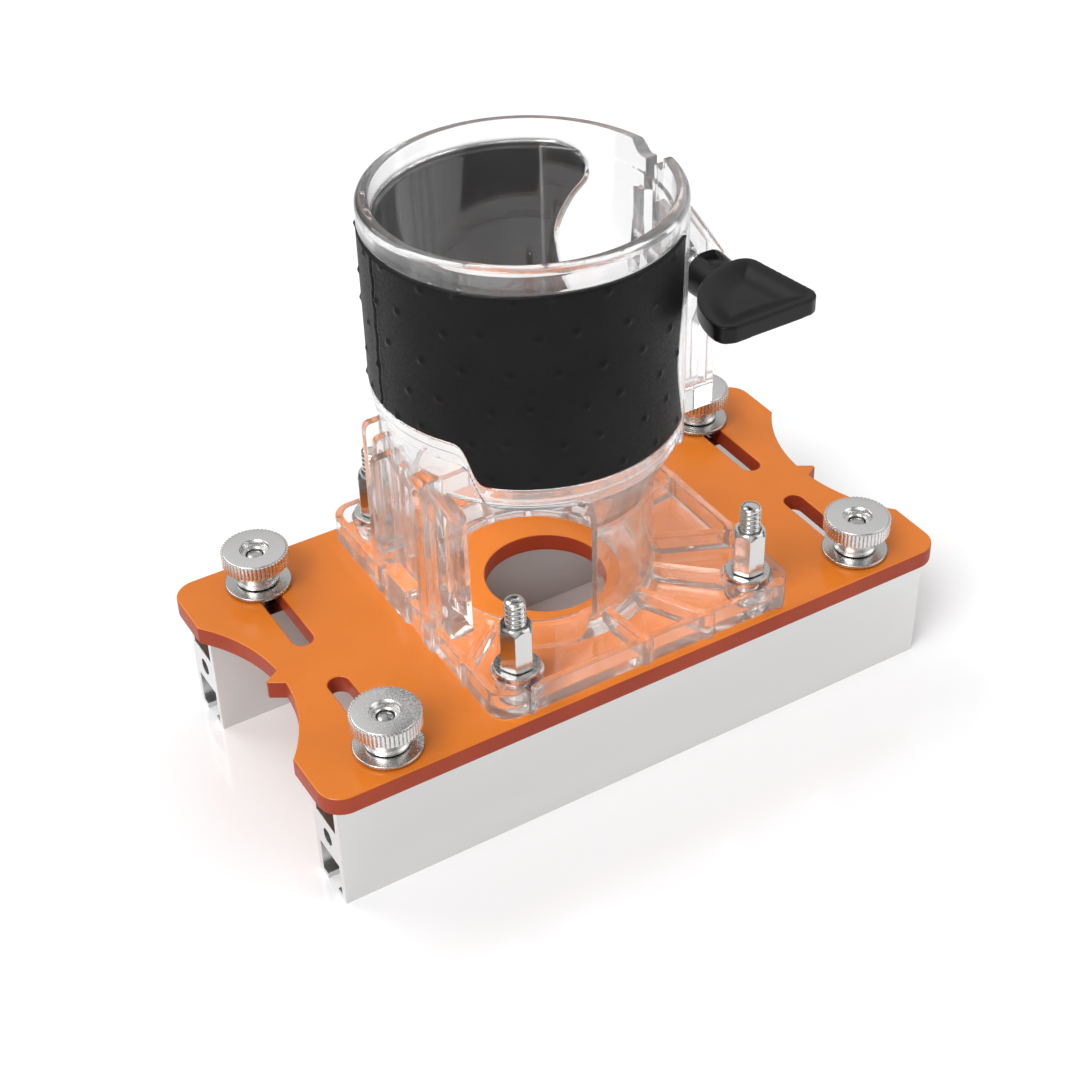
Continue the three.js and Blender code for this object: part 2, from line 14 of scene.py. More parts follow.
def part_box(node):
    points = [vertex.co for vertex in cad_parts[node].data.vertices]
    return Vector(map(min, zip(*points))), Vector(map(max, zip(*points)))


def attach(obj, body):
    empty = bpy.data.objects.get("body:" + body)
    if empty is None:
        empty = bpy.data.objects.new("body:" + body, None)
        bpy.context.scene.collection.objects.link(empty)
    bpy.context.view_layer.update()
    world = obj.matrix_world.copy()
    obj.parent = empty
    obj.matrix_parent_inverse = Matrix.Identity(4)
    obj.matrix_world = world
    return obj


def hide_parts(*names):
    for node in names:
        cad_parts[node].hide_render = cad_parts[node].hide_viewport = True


MM = 0.001
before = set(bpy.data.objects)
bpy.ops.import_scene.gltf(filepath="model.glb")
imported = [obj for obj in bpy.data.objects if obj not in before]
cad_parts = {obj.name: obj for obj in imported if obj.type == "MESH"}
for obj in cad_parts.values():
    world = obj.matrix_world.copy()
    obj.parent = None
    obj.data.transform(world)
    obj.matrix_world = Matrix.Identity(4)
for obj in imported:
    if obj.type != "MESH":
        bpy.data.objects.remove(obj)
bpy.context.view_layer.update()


def extent(node):
    """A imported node's lowest and highest corners in millimetres."""
    low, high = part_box(node)
    return low / MM, high / MM


def middle_of(node):
    """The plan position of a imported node's middle."""
    low, high = extent(node)
    return (low.x + high.x) / 2, (low.y + high.y) / 2


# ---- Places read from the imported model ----
plate_low, plate_high = extent("base_plate")
base_low, base_high = extent("router_base")
sleeve_low, sleeve_high = extent("grip_sleeve")
screw_low, screw_high = extent("clamp_screw")
lever_high = extent("clamp_lever")[1]
plate_top = plate_high.z
collar_y = (sleeve_low.y + sleeve_high.y) / 2
grip_radius = (sleeve_high.y - sleeve_low.y) / 2
collar_x = sleeve_low.x + grip_radius
collar_top = base_high.z
pivot_x = (screw_low.x + screw_high.x) / 2
pivot_z = (screw_low.z + screw_high.z) / 2
CORNERS = [("front_left", -1, -1), ("front_right", 1, -1), ("back_left", -1, 1), ("back_right", 1, 1)]

# ---- Camera and floor ----
CAMERA_PLACE = (-194.8, -325.3, 336.5)
CAMERA_AZIMUTH = -30.263
CAMERA_ELEVATION = 37.674
CAMERA_ROLL = -1.527
CAMERA_LENS = 65.34
FLOOR_SIZE = 6000

# ---- Plate ----
PLATE_CORNER = 6.0
PLATE_BEVEL = 0.45
SCOOP_HALF_WIDTH = 26.5
SCOOP_DEPTH = 9.6
TOOTH_HALF_WIDTH = 2.6
TOOTH_HEIGHT = 3.6
PLATE_HOLE = (-3.7, 0.0, 15.0)
SLOT_X = 65.3
SLOT_WIDTH = 5.2
SLOT_INNER = 9.6
SLOT_OUTER = 36.2
COUNTERSINK_RADIUS = 4.6

# ---- Rails ----
RAIL_WALL = 1.8
RAIL_LIP = 1.6
RAIL_MOUTH = 5.3
RAIL_UPPER_DEPTH = 9.0
RAIL_LOWER_DEPTH = 10.8
RAIL_PORT_RADIUS = 2.1
RAIL_PORT_HEIGHT = 16.0
RAIL_BEVEL = 0.18

# ---- Clear base ----
FLANGE_LEFT = -41.4
FLANGE_RIGHT = 40.6
FLANGE_FRONT = -42.3
FLANGE_CORNER = 5.5
FLANGE_HEIGHT = 7.2
FLANGE_FLOOR = 2.0
FLANGE_RIM = 2.0
RIB_WIDTH = 2.2
RIB_DROP = 0.7
POST_RADIUS = 1.7
BOSS_TOP_RADIUS = 6.2
BOSS_FOOT_RADIUS = 4.6
BORE = 32.5
SKIN = 34.4
RING = 36.1
LIP_HEIGHT = 6.0
RING_HEIGHT = 5.6
NOSE_RADIUS = 29.2
NOSE_WALL = 2.6
NOSE_OPENING = 21.5
NOSE_TOP = 66.8
EDGE_LOW = 85.9
EDGE_RISE = 10.4
EDGE_HALF_WIDTH = 22.75
EDGE_SOFTNESS = 1.4
SLIT_HALF = 1.6
EAR_THICKNESS = 6.2
VOXEL = 0.3
BORE_RECESS = 0.5  # how much wider the bore is behind the rim
BORE_RECESS_HEIGHT = 6.6
NOTCH_FRONT = -3.5
NOTCH_BACK = 8.4
NOTCH_DEPTH = 3.2
FIN_ROOT = -31.0
POST_INSET = 1.0
FRONT_RIBS = (-1.5, 15.7)
RIGHT_RIBS = (-18.0, 8.0, 26.0)
LEFT_RIBS = (-25.6, 27.0)
WINDOW_HALF = 17.35
WINDOW_LOW = 2.6
WINDOW_HIGH = 45.0
WINDOW_CORNER = 4.0
WINDOW_TURN = -129.0
PIVOT_HOLE = 2.8
FACE_LIMIT = 190000  # triangles in the clear base

# ---- Clear plastic ----
CLEAR_SHARE = 0.1  # how much of the view passes unbent
HAZE = 0.02  # how milky a flat face is
PAINTED_EDGE_HIGHLIGHT = 0.3  # painted highlight: how much white is painted on a sharp edge
EDGE_START = 0.53  # pointiness where the painted edge highlight begins
EDGE_END = 0.64

# ---- Grip ----
GRIP_WALL = 1.5
PIMPLE_SPACING = 10.2
PIMPLE_HEIGHT = 0.42
PIMPLE_RADIUS = 0.75

# ---- Lever ----
PADDLE_SHIFT = (-4.1, -3.6)
PADDLE_FLOOR = 1.8
PADDLE_TOP = 6.0

# ---- Screws and nuts ----
BOLT_RADIUS = 2.0
BOLT_PITCH = 0.7
BOLT_HOLE = 2.3
STUD_RADIUS = 2.55
STUD_PITCH = 1.3
STUD_HOLE = 2.8
SPINDLE_PITCH = 0.8
THREAD_SHARE = 0.3  # how deep a thread is, by its pitch
KNURLS = 52
KNURL_DEPTH = 0.45


# ---- Mesh helpers ----
def piece_from(name, points, faces):
    """An object of these points, given in millimetres, with doubled points merged and faces turned out."""
    shape = bmesh.new()
    corners = [shape.verts.new(Vector(point) * MM) for point in points]
    for face in faces:
        shape.faces.new([corners[i] for i in face])
    bmesh.ops.remove_doubles(shape, verts=shape.verts, dist=1e-7)
    bmesh.ops.recalc_face_normals(shape, faces=shape.faces)
    mesh = bpy.data.meshes.new(name)
    shape.to_mesh(mesh)
    shape.free()
    return link(name, mesh)


def link(name, mesh):
    piece = bpy.data.objects.new(name, mesh)
    bpy.context.scene.collection.objects.link(piece)
    return piece


def remove(piece):
    bpy.data.objects.remove(piece, do_unlink=True)


def settle(piece):
    """Applies a piece's modifiers to its mesh."""
    bpy.context.view_layer.update()
    graph = bpy.context.evaluated_depsgraph_get()
    mesh = bpy.data.meshes.new_from_object(piece.evaluated_get(graph), depsgraph=graph)
    piece.modifiers.clear()
    piece.data = mesh


def combine(piece, others, operation):
    """Joins or cuts a piece with closed pieces, and removes those."""
    for other in others:
        modifier = piece.modifiers.new("combine", "BOOLEAN")
        modifier.solver = "MANIFOLD"
        modifier.operation = operation
        modifier.object = other
        settle(piece)
        remove(other)
    return piece


def smooth(piece, degrees=35):
    """Shades a piece smooth, except over edges sharper than this, with flat faces kept flat."""
    piece.data.shade_smooth()
    piece.data.set_sharp_from_angle(angle=math.radians(degrees))
    level = piece.modifiers.new("level", "WEIGHTED_NORMAL")
    level.keep_sharp = True
    level.weight = 90
    return piece


def arc(x, y, radius, start, end, steps):
    """Points along an arc from one angle to another, in degrees."""
    points = []
    for i in range(steps + 1):
        angle = math.radians(start + (end - start) * i / steps)
        points.append((x + radius * math.cos(angle), y + radius * math.sin(angle)))
    return points


def rounded(left, right, front, back, radius, steps=10):
    """A rectangle with round corners."""
    return (
        arc(right - radius, front + radius, radius, -90, 0, steps)
        + arc(right - radius, back - radius, radius, 0, 90, steps)
        + arc(left + radius, back - radius, radius, 90, 180, steps)
        + arc(left + radius, front + radius, radius, 180, 270, steps)
    )


def spline(points, steps=12):
    """A smooth curve through points, by Catmull and Rom."""
    ends = [points[0]] + list(points) + [points[-1]]
    curve = []
    for i in range(len(points) - 1):
        a, b, c, d = (Vector(p) for p in ends[i:i + 4])
        for step in range(steps):
            t = step / steps
            bend = 2 * a - 5 * b + 4 * c - d
            twist = 3 * b - a - 3 * c + d
            curve.append(tuple((2 * b + (c - a) * t + bend * t * t + twist * t ** 3) / 2))
    return curve + [tuple(points[-1])]


def along_x(a, b, c):
    return (c, a, b)


def along_y(a, b, c):
    return (a, c, b)


def along_z(a, b, c):
    return (a, b, c)


def prism(name, outline, low, high, place=along_z):
    """A closed outline of (a, b) points raised from low to high."""
    count = len(outline)
    points = [place(a, b, low) for a, b in outline] + [place(a, b, high) for a, b in outline]
    faces = [(i, (i + 1) % count, count + (i + 1) % count, count + i) for i in range(count)]
    faces += [tuple(range(count)), tuple(range(count, 2 * count))]
    return piece_from(name, points, faces)


def block(name, low, high):
    outline = [(low[0], low[1]), (high[0], low[1]), (high[0], high[1]), (low[0], high[1])]
    return prism(name, outline, low[2], high[2])


def turned(name, profile, x=0.0, y=0.0, steps=96, shift=None, place=along_z):
    """A closed profile of (radius, height) points turned round a line.
    shift(angle, radius, height) adds to a point's radius."""
    points = []
    for i in range(steps):
        angle = 2 * math.pi * i / steps
        for radius, height in profile:
            grown = radius + shift(angle, radius, height) if shift and radius else radius
            points.append(place(x + grown * math.cos(angle), y + grown * math.sin(angle), height))
    count = len(profile)
    faces = []
    for i in range(steps):
        after = (i + 1) % steps
        for j in range(count):
            k = (j + 1) % count
            if profile[j][0] == 0 and profile[k][0] == 0:
                continue
            if profile[j][0] == 0:
                faces.append((i * count + j, after * count + k, i * count + k))
            elif profile[k][0] == 0:
                faces.append((i * count + j, after * count + j, i * count + k))
            else:
                faces.append((i * count + j, after * count + j, after * count + k, i * count + k))
    return piece_from(name, points, faces)


def plate_curve(name, outlines, low, high, bevel, turn):
    """Outlines, the first round the others, filled and raised with bevelled rims.
    turn places the drawing's axes, with its height measured from the middle."""
    drawing = bpy.data.curves.new(name, "CURVE")
    drawing.dimensions = "2D"
    drawing.fill_mode = "BOTH"
    drawing.extrude = ((high - low) / 2 - bevel) * MM
    drawing.bevel_depth = bevel * MM
    drawing.bevel_resolution = 2
    drawing.offset = -bevel * MM
    for outline in outlines:
        line = drawing.splines.new("POLY")
        line.points.add(len(outline) - 1)
        for point, (a, b) in zip(line.points, outline):
            point.co = (a * MM, b * MM, 0, 1)
        line.use_cyclic_u = True
    source = link(name, drawing)
    bpy.context.view_layer.update()
    graph = bpy.context.evaluated_depsgraph_get()
    mesh = bpy.data.meshes.new_from_object(source.evaluated_get(graph), depsgraph=graph)
    remove(source)
    rise = Matrix.Translation((0, 0, (low + high) / 2 * MM))
    mesh.transform(turn @ rise)
    piece = link(name, mesh)
    shape = bmesh.new()
    shape.from_mesh(mesh)
    bmesh.ops.remove_doubles(shape, verts=shape.verts, dist=1e-6)
    bmesh.ops.recalc_face_normals(shape, faces=shape.faces)
    shape.to_mesh(mesh)
    shape.free()
    return piece


# ---- Material helpers ----
def shader_of(name):
    material = bpy.data.materials.new(name)
    material.use_nodes = True
    return material, material.node_tree, material.node_tree.nodes["Principled BSDF"]


def node(tree, kind, **settings):
    made = tree.nodes.new(kind)
    for key, value in settings.items():
        if key in made.inputs:
            made.inputs[key].default_value = value
        else:
            setattr(made, key, value)
    return made


def texture_space(tree, stretch=(1, 1, 1)):
    """Object coordinates, stretched along the axes."""
    place = node(tree, "ShaderNodeTexCoord")
    scale = node(tree, "ShaderNodeMapping")
    scale.inputs["Scale"].default_value = stretch
    tree.links.new(place.outputs["Object"], scale.inputs["Vector"])
    return scale.outputs["Vector"]


def noise(tree, space, scale, detail=3.0):
    pattern = node(tree, "ShaderNodeTexNoise", Scale=scale, Detail=detail)
    tree.links.new(space, pattern.inputs["Vector"])
    return pattern.outputs["Fac"]


def vary(tree, value, low, high):
    """Maps the middle of a noise to a range."""
    span = node(tree, "ShaderNodeMapRange")
    span.inputs["From Min"].default_value = 0.3
    span.inputs["From Max"].default_value = 0.7
    span.inputs["To Min"].default_value = low
    span.inputs["To Max"].default_value = high
    tree.links.new(value, span.inputs["Value"])
    return span.outputs["Result"]


def blend_colours(tree, value, first, second):
    ramp = node(tree, "ShaderNodeValToRGB")
    ramp.color_ramp.elements[0].position = 0.35
    ramp.color_ramp.elements[0].color = (*first, 1)
    ramp.color_ramp.elements[1].position = 0.65
    ramp.color_ramp.elements[1].color = (*second, 1)
    tree.links.new(value, ramp.inputs["Fac"])
    return ramp.outputs["Color"]


def bump(tree, height, strength, distance):
    made = node(tree, "ShaderNodeBump", Strength=strength, Distance=distance * MM)
    tree.links.new(height, made.inputs["Height"])
    return made.outputs["Normal"]


def mix_shaders(tree, first, second, share):
    """The output of a mix of two shaders, with share of the second."""
    mixed = node(tree, "ShaderNodeMixShader")
    mixed.inputs[0].default_value = share
    tree.links.new(first, mixed.inputs[1])
    tree.links.new(second, mixed.inputs[2])
    return mixed.outputs["Shader"]


def finish(name, colours, roughness, grain, depth, stretch=(1, 1, 1), patch=60, **sockets):
    """A solid material: colour and roughness drift over patches, and a fine grain lifts the surface.
    grain is the grain's scale per metre, and depth its height in millimetres."""
    material, tree, shader = shader_of(name)
    space = texture_space(tree, stretch)
    drift = noise(tree, space, patch)
    fine = noise(tree, space, grain, 4.0)
    tree.links.new(blend_colours(tree, drift, *colours), shader.inputs["Base Color"])
    tree.links.new(vary(tree, fine, *roughness), shader.inputs["Roughness"])
    tree.links.new(bump(tree, fine, 0.6, depth), shader.inputs["Normal"])
    for socket, value in sockets.items():
        shader.inputs[socket.replace("_", " ")].default_value = value
    return material


def clear_plastic():
    """Polycarbonate that lets lamps and part of the view straight through, with a mould's faint waves,
    an even faint haze and a painted white highlight along its sharp edges."""
    material, tree, shader = shader_of("clear_plastic")
    space = texture_space(tree)
    shader.inputs["Base Color"].default_value = (1.0, 1.0, 1.0, 1)
    shader.inputs["Transmission Weight"].default_value = 1
    shader.inputs["IOR"].default_value = 1.5
    shader.inputs["Specular IOR Level"].default_value = 0.6
    wave = noise(tree, space, 70, 1.0)
    tree.links.new(vary(tree, wave, 0.0, 0.012), shader.inputs["Roughness"])
    tree.links.new(bump(tree, wave, 0.1, 0.1), shader.inputs["Normal"])
    through = node(tree, "ShaderNodeBsdfTransparent", Color=(0.98, 0.985, 0.985, 1))
    share = mix_shaders(tree, shader.outputs["BSDF"], through.outputs["BSDF"], CLEAR_SHARE)
    # Painted highlight: white diffuse and translucent shading that is mixed in at sharp edges.
    highlight_white = node(tree, "ShaderNodeBsdfDiffuse", Color=(0.93, 0.93, 0.94, 1))
    highlight_translucent = node(tree, "ShaderNodeBsdfTranslucent", Color=(0.93, 0.93, 0.94, 1))
    painted_highlight = mix_shaders(tree, highlight_white.outputs["BSDF"], highlight_translucent.outputs["BSDF"], 0.4)
    # Pointiness sets the share: the faint even haze on flat faces, rising to the painted edge highlight at
    # sharp edges.
    shape = node(tree, "ShaderNodeNewGeometry")
    edges = node(tree, "ShaderNodeMapRange")
    edges.inputs["From Min"].default_value = EDGE_START
    edges.inputs["From Max"].default_value = EDGE_END
    edges.inputs["To Min"].default_value = HAZE
    edges.inputs["To Max"].default_value = PAINTED_EDGE_HIGHLIGHT
    tree.links.new(shape.outputs["Pointiness"], edges.inputs["Value"])
    haze_and_highlight = mix_shaders(tree, share, painted_highlight, HAZE)
    tree.links.new(edges.outputs["Result"], haze_and_highlight.node.inputs[0])
    path = node(tree, "ShaderNodeLightPath")
    shadow = mix_shaders(tree, haze_and_highlight, through.outputs["BSDF"], 0)
    tree.links.new(path.outputs["Is Shadow Ray"], shadow.node.inputs[0])
    tree.links.new(shadow, tree.nodes["Material Output"].inputs["Surface"])
    return material


bakelite_face = finish(
    "bakelite_face", ((0.645, 0.168, 0.014), (0.675, 0.178, 0.016)), (0.2, 0.27), 700, 0.002,
    Specular_IOR_Level=0.34,
)
# The plate's sides: a darker, rougher copy of the bakelite colour, the darkness being painted shade.
bakelite_side_painted_shade = finish(
    "bakelite_side_painted_shade", ((0.34, 0.042, 0.014), (0.40, 0.055, 0.018)), (0.38, 0.55), 1400, 0.03,
    Specular_IOR_Level=0.25,
)
aluminium = finish(
    "rail_aluminium", ((0.67, 0.67, 0.665), (0.685, 0.685, 0.68)), (0.28, 0.305), 1600, 0.0001,
    stretch=(0.03, 1, 1), Metallic=1.0,
)
nickel = finish(
    "bright_nickel", ((0.63, 0.625, 0.61), (0.68, 0.675, 0.66)), (0.12, 0.17), 1500, 0.0004, Metallic=1.0,
)
turned_nickel = finish(
    "turned_nickel", ((0.66, 0.655, 0.645), (0.71, 0.705, 0.695)), (0.24, 0.29), 1500, 0.0004, Metallic=1.0,
)
washer_steel = finish(
    "washer_steel", ((0.50, 0.495, 0.485), (0.56, 0.555, 0.54)), (0.24, 0.3), 1500, 0.0005, Metallic=1.0,
)
zinc = finish(
    "zinc_steel", ((0.40, 0.40, 0.39), (0.52, 0.515, 0.50)), (0.18, 0.26), 1600, 0.002, Metallic=1.0,
)
dark_steel = finish(
    "dark_steel", ((0.05, 0.05, 0.055), (0.12, 0.12, 0.125)), (0.18, 0.34), 1800, 0.008, Metallic=1.0,
)
rubber = finish(
    "grip_rubber", ((0.004, 0.004, 0.0043), (0.007, 0.007, 0.0073)), (0.42, 0.58), 1500, 0.02,
    Specular_IOR_Level=0.16,
)
lever_plastic = finish(
    "lever_plastic", ((0.003, 0.003, 0.0032), (0.005, 0.005, 0.0052)), (0.28, 0.36), 2000, 0.003,
    Specular_IOR_Level=0.26,
)
clear = clear_plastic()


def dress(piece, materials, body, nodes):
    """Gives a piece its materials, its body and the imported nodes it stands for."""
    piece.data.materials.clear()
    for material in materials:
        piece.data.materials.append(material)
    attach(piece, body)
    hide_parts(*nodes)
    return piece


# ---- Plate ----
def plate_outline():
    end = plate_high.x
    side = plate_high.y
    scoop = (SCOOP_DEPTH ** 2 + SCOOP_HALF_WIDTH ** 2) / (2 * SCOOP_DEPTH)
    bottom = end - SCOOP_DEPTH
    wide = math.degrees(math.asin(SCOOP_HALF_WIDTH / scoop))
    narrow = math.degrees(math.asin(TOOTH_HALF_WIDTH / scoop))
    centre = bottom + scoop
    right = (
        arc(end - PLATE_CORNER, PLATE_CORNER - side, PLATE_CORNER, -90, 0, 12)
        + arc(centre, 0, scoop, 180 + wide, 180 + narrow, 20)
        + [(bottom + TOOTH_HEIGHT, -0.4), (bottom + TOOTH_HEIGHT, 0.4)]
        + arc(centre, 0, scoop, 180 - narrow, 180 - wide, 20)
        + arc(end - PLATE_CORNER, side - PLATE_CORNER, PLATE_CORNER, 0, 90, 12)
    )
    return right + [(-x, -y) for x, y in right]


def slot_outline(x, side):
    inner = side * SLOT_INNER
    outer = side * SLOT_OUTER
    half = SLOT_WIDTH / 2
    return (
        arc(x, min(inner, outer), half, 360, 180, 14)
        + arc(x, max(inner, outer), half, 180, 0, 14)
    )


def make_plate():
    holes = [slot_outline(x * SLOT_X, side) for _, x, side in CORNERS]
    holes.append(arc(PLATE_HOLE[0], PLATE_HOLE[1], PLATE_HOLE[2], 360, 5, 71))
    for where, _, _ in CORNERS:
        x, y = middle_of("standoff_screw_" + where)
        holes.append(arc(x, y, COUNTERSINK_RADIUS, 360, 15, 23))
    plate = plate_curve(
        "bakelite_plate", [plate_outline()] + holes, plate_low.z, plate_high.z,
        PLATE_BEVEL, Matrix.Identity(4),
    )
    smooth(plate, 30)
    dress(plate, [bakelite_face, bakelite_side_painted_shade], "bracket", ["base_plate"])
    # Faces that point up or down keep the bakelite colour; the sides get the darker copy with painted shade.
    for face in plate.data.polygons:
        face.material_index = 0 if abs(face.normal.z) > 0.5 else 1
    return plate


# ---- Rails ----
def rail_outlines(low, high):
    """The rail's section in Y and Z round its own middle, and its screw port."""
    half = (high.y - low.y) / 2
    inside = half - RAIL_WALL
    mouth = RAIL_MOUTH / 2
    top = high.z
    floor = top - RAIL_UPPER_DEPTH
    section = [
        (-half, 0), (-mouth, 0), (-mouth, RAIL_LIP), (-inside, RAIL_LIP),
        (-inside, RAIL_LOWER_DEPTH), (inside, RAIL_LOWER_DEPTH), (inside, RAIL_LIP),
        (mouth, RAIL_LIP), (mouth, 0), (half, 0), (half, top), (mouth, top),
        (mouth, top - RAIL_LIP), (inside, top - RAIL_LIP), (inside, floor), (-inside, floor),
        (-inside, top - RAIL_LIP), (-mouth, top - RAIL_LIP), (-mouth, top), (-half, top),
    ]
    return [section, arc(0, RAIL_PORT_HEIGHT, RAIL_PORT_RADIUS, 360, 15, 23)]


def make_rail(side):
    low, high = extent("rail_" + side)
    stand = Matrix(((0, 0, 1, 0), (1, 0, 0, (low.y + high.y) / 2 * MM), (0, 1, 0, 0), (0, 0, 0, 1)))
    rail = plate_curve(side + "_extrusion", rail_outlines(low, high), low.x, high.x, RAIL_BEVEL, stand)
    smooth(rail, 30)
    return dress(rail, [aluminium], side + "_rail", ["rail_" + side])


# ---- Threads, nuts and washers ----
def thread_cut(pitch, start):
    """A shift for turned() that cuts a helical thread of this pitch above start."""
    def cut(angle, radius, height):
        if height <= start:
            return 0
        phase = (height / pitch - angle / (2 * math.pi)) % 1
        return -THREAD_SHARE * pitch * abs(2 * phase - 1) ** 1.5
    return cut


def thread_profile(radius, low, high, pitch):
    """Points up a rod, close enough together to carry its thread."""
    count = int((high - low) / (pitch / 10))
    return [(radius, low + (high - low) * i / count) for i in range(count + 1)]


def threaded_rod(name, radius, pitch, low, high, x, y, tip, foot):
    """A screw with a helical thread above its foot's profile, and a domed tip."""
    start = foot[-1][1]
    profile = list(foot) + thread_profile(radius, start, high - tip, pitch)[1:]
    for i in range(1, 9):
        angle = math.pi / 2 * i / 8
        profile.append((radius * math.cos(angle) if i < 8 else 0, high - tip + tip * math.sin(angle)))
    whole = thread_cut(pitch, start)

    def cut(angle, here, height):
        fade = 1 if height < high - tip else max(0, 1 - (height - high + tip) / (0.5 * tip))
        return whole(angle, here, height) * fade

    rod = turned(name, profile, x, y, 64, cut)
    return smooth(rod, 50)


def soft_ring(inner, outer, low, high, edge):
    """The profile of a ring with round edges."""
    return (
        arc(outer - edge, low + edge, edge, -90, 0, 4)
        + arc(outer - edge, high - edge, edge, 0, 90, 4)
        + arc(inner + edge, high - edge, edge, 90, 180, 4)
        + arc(inner + edge, low + edge, edge, 180, 270, 4)
    )


def make_washer(name, node_name, hole, body):
    low, high = extent(node_name)
    x, y = middle_of(node_name)
    outer = (high.x - low.x) / 2
    ring = turned(name, soft_ring(hole, outer, low.z, high.z, 0.3), x, y, 96)
    smooth(ring, 50)
    return dress(ring, [washer_steel], body, [node_name])


def make_thumb_nut(where, body):
    """A flat knurled head on a neck, with a countersunk recess that shows the screw."""
    name = "thumb_nut_" + where
    low, high = extent(name)
    x, y = middle_of(name)
    head = (high.x - low.x) / 2
    head_low = high.z - 4.0
    neck = 4.7
    foot = neck + 0.5
    recess = 3.5
    bore = BOLT_RADIUS + 0.15
    edge = 0.3
    knurled = [(head, head_low + edge + (4.0 - 2 * edge) * i / 4) for i in range(5)]
    profile = (
        [(bore, low.z + 0.2), (bore + 0.3, low.z), (foot - 0.2, low.z), (foot, low.z + 0.2)]
        + [(foot, low.z + 0.7), (neck, low.z + 1.1), (neck, head_low - 0.4)]
        + [(neck + 0.4, head_low), (head - edge - KNURL_DEPTH, head_low)]
        + knurled
        + arc(head - edge - KNURL_DEPTH, high.z - edge, edge, 10, 90, 4)
        + [(recess + 0.15, high.z), (recess - 0.05, high.z - 0.12), (recess - 0.5, high.z - 0.9)]
        + [(recess - 0.6, high.z - 1.3), (bore + 0.3, high.z - 1.35), (bore, high.z - 1.6)]
    )

    def rib(angle, radius, height):
        if radius != head:
            return 0
        return -KNURL_DEPTH * max(0, math.cos(angle * KNURLS)) ** 2

    nut = turned(name.replace("thumb_nut", "knurled_nut"), profile, x, y, KNURLS * 10, rib)
    smooth(nut, 30)
    return dress(nut, [turned_nickel], body, [name])


def make_t_bolt(where, body):
    """A square head in the rail's channel and a threaded shank."""
    name = "t_bolt_" + where
    low, high = extent(name)
    x, y = middle_of(name)
    half = (high.x - low.x) / 2
    head_high = low.z + 2.8
    head = prism(
        "rail_bolt_" + where, rounded(x - half, x + half, y - half, y + half, 0.5, 4), low.z, head_high,
    )
    foot = [(0, head_high - 1), (BOLT_RADIUS, head_high - 1), (BOLT_RADIUS, head_high)]
    shank = threaded_rod("shank", BOLT_RADIUS, BOLT_PITCH, head_high - 1, high.z, x, y, 0.6, foot)
    combine(head, [shank], "UNION")
    smooth(head, 50)
    return dress(head, [zinc], body, [name])


def make_stud(where):
    """A countersunk screw that ends in a domed threaded tip above its nut."""
    name = "standoff_screw_" + where
    low, high = extent(name)
    x, y = middle_of(name)
    head = (high.x - low.x) / 2
    sink = low.z + 2.2
    foot = [(0, low.z), (head - 0.1, low.z), (head, low.z + 0.1), (STUD_RADIUS, sink)]
    stud = threaded_rod("stud_" + where, STUD_RADIUS, STUD_PITCH, low.z, high.z, x, y, 1.3, foot)
    return dress(stud, [nickel], "bracket", [name])


def make_hex_nut(where):
    """A tall hexagon nut with turned chamfers at both ends."""
    name = "standoff_nut_" + where
    low, high = extent(name)
    x, y = middle_of(name)
    corner = (high.x - low.x) / 2 + 0.1
    outline = []
    for i in range(6):
        angle = math.radians(60 * i)
        tip = Vector((x + corner * math.cos(angle), y + corner * math.sin(angle)))
        for turn in (-1, 1):
            beside = angle + turn * math.radians(120)
            outline.append(tuple(tip + 0.22 * Vector((math.cos(beside), math.sin(beside)))))
    nut = prism("hexagon_nut_" + where, outline, low.z, high.z)
    barrel = turned(
        "barrel",
        [(0, low.z - 1), (corner - 0.55, low.z - 0.05), (corner + 0.05, low.z + 0.35),
         (corner + 0.05, high.z - 1.5), (corner - 0.9, high.z), (0, high.z + 0.9)],
        x, y, 96,
    )
    combine(nut, [barrel], "INTERSECT")
    bore = turned(
        "bore", [(0, low.z - 1), (2.65, low.z - 1), (2.65, high.z - 0.25), (2.9, high.z + 0.1),
                 (2.9, high.z + 1), (0, high.z + 1)], x, y, 64,
    )
    combine(nut, [bore], "DIFFERENCE")
    soften = nut.modifiers.new("soften", "BEVEL")
    soften.width = 0.1 * MM
    soften.segments = 2
    soften.limit_method = "ANGLE"
    soften.angle_limit = math.radians(28)
    settle(nut)
    smooth(nut, 25)
    return dress(nut, [nickel], "bracket", [name])


# ---- Clear base ----
def edge_height(offset):
    """The height of the grip's lower edge, by how far it is from the collar's middle in Y."""
    step = math.tanh((EDGE_HALF_WIDTH - abs(offset)) / EDGE_SOFTNESS)
    return EDGE_LOW + EDGE_RISE * (1 + step) / 2


def edge_curve(drop):
    """The grip's lower edge seen along X, from front to back, lowered by drop."""
    reach = 40
    return [(collar_y + i / 2, edge_height(i / 2) - drop) for i in range(-2 * reach, 2 * reach + 1)]


def clamp_side(half_widths, grow):
    """One side of the clamp zone as (distance, height), from its foot up past the collar's top."""
    side = spline([(half + grow, height) for half, height in half_widths], 8)
    side.append((side[-1][0], collar_top + 1))
    return side


def clamp_edge(grow):
    """The clamp zone's outline seen along X: the grip is cut back to it, further on the lever's side."""
    back = clamp_side([
        (19.8, 78), (19.9, 86.3), (20.6, 91.3), (24.6, 99.3), (25.6, 111.3), (23.0, 120.3),
        (19.8, 126.3), (20.4, 130.8), (26.0, 134.3), (33.0, 134.6),
    ], grow)
    front = clamp_side([
        (24.7, 78), (24.7, 82.5), (27.3, 92.4), (28.9, 103.9), (27.3, 118.7), (26.8, 127), (26.6, 134.6),
    ], grow)
    outline = [(collar_y + half, height) for half, height in back]
    outline += [(collar_y - half, height) for half, height in front[::-1]]
    return outline


def post_lines(back):
    """The rim's middle lines at the left, right, front and back, where its posts stand."""
    return FLANGE_LEFT + POST_INSET, FLANGE_RIGHT - POST_INSET, FLANGE_FRONT + POST_INSET, back - POST_INSET


